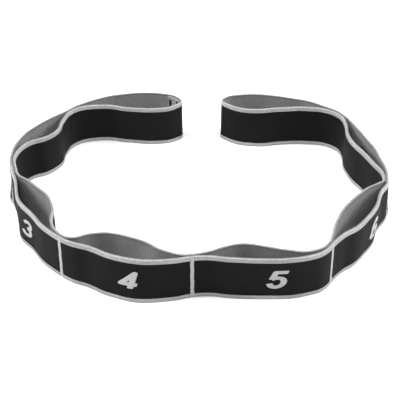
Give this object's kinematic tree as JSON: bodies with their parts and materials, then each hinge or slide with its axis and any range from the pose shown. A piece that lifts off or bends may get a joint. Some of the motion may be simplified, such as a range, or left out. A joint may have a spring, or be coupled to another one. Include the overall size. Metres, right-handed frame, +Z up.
{
  "type": "stretching strap",
  "caption": "Doubled elastic webbing strap sewn through at intervals so that a row of hand and foot loops opens between its layers, standing on its edge in a C.",
  "frame": {"origin": "under the centre of the strap, at the height of its lower edges", "axes": "+Z up, across the strap's width; +X along the longest side of the C; the C opens towards +Y"},
  "size_m": [0.3296, 0.2676, 0.04],
  "materials": {
    "webbing": "woven elastic, black face, grey borders and reverse",
    "woven_figures": "woven light grey yarn",
    "sewing_thread": "satin polyester thread",
    "rubber_strands": "natural latex"
  },
  "bodies": {
    "loop_1": {"outer_web_1": "webbing", "inner_web_1": "webbing", "outer_strands_1": "rubber_strands", "inner_strands_1": "rubber_strands", "numeral_1": "woven_figures", "seam_thread_1_2": "sewing_thread", "end_lap": "webbing", "end_lap_stitches": "sewing_thread"},
    "loop_2": {"outer_web_2": "webbing", "inner_web_2": "webbing", "outer_strands_2": "rubber_strands", "inner_strands_2": "rubber_strands", "numeral_2": "woven_figures", "seam_thread_2_3": "sewing_thread"},
    "loop_3": {"outer_web_3": "webbing", "inner_web_3": "webbing", "outer_strands_3": "rubber_strands", "inner_strands_3": "rubber_strands", "numeral_3": "woven_figures", "seam_thread_3_4": "sewing_thread"},
    "loop_4": {"outer_web_4": "webbing", "inner_web_4": "webbing", "outer_strands_4": "rubber_strands", "inner_strands_4": "rubber_strands", "numeral_4": "woven_figures"},
    "loop_5": {"outer_web_5": "webbing", "inner_web_5": "webbing", "outer_strands_5": "rubber_strands", "inner_strands_5": "rubber_strands", "numeral_5": "woven_figures", "seam_thread_4_5": "sewing_thread"},
    "loop_6": {"outer_web_6": "webbing", "inner_web_6": "webbing", "outer_strands_6": "rubber_strands", "inner_strands_6": "rubber_strands", "numeral_6": "woven_figures", "seam_thread_5_6": "sewing_thread"},
    "loop_7": {"outer_web_7": "webbing", "inner_web_7": "webbing", "outer_strands_7": "rubber_strands", "inner_strands_7": "rubber_strands", "numeral_7": "woven_figures", "seam_thread_6_7": "sewing_thread"},
    "loop_8": {"outer_web_8": "webbing", "inner_web_8": "webbing", "outer_strands_8": "rubber_strands", "inner_strands_8": "rubber_strands", "numeral_8": "woven_figures", "seam_thread_7_8": "sewing_thread"}
  },
  "joints": [
    {"name": "seam_hinge_1_2", "type": "hinge", "parent": "loop_2", "child": "loop_1", "pos_m": [-0.11854, 0.10003, 0.02], "axis": [0, 0, 1], "range_deg": [-45, 58]},
    {"name": "seam_hinge_2_3", "type": "hinge", "parent": "loop_3", "child": "loop_2", "pos_m": [-0.15954, 0.00073, 0.02], "axis": [0, 0, 1], "range_deg": [-25, 48]},
    {"name": "seam_hinge_3_4", "type": "hinge", "parent": "loop_4", "child": "loop_3", "pos_m": [-0.10754, -0.10027, 0.02], "axis": [0, 0, 1], "range_deg": [-5, 50]},
    {"name": "seam_hinge_4_5", "type": "hinge", "parent": "loop_4", "child": "loop_5", "pos_m": [-0.00404, -0.12546, 0.02], "axis": [0, 0, -1], "range_deg": [-4, 25]},
    {"name": "seam_hinge_5_6", "type": "hinge", "parent": "loop_5", "child": "loop_6", "pos_m": [0.10476, -0.11006, 0.02], "axis": [0, 0, -1], "range_deg": [-5, 50]},
    {"name": "seam_hinge_6_7", "type": "hinge", "parent": "loop_6", "child": "loop_7", "pos_m": [0.16146, -0.01826, 0.02], "axis": [0, 0, -1], "range_deg": [-20, 47]},
    {"name": "seam_hinge_7_8", "type": "hinge", "parent": "loop_7", "child": "loop_8", "pos_m": [0.13446, 0.09004, 0.02], "axis": [0, 0, -1], "range_deg": [-45, 60]}
  ]
}
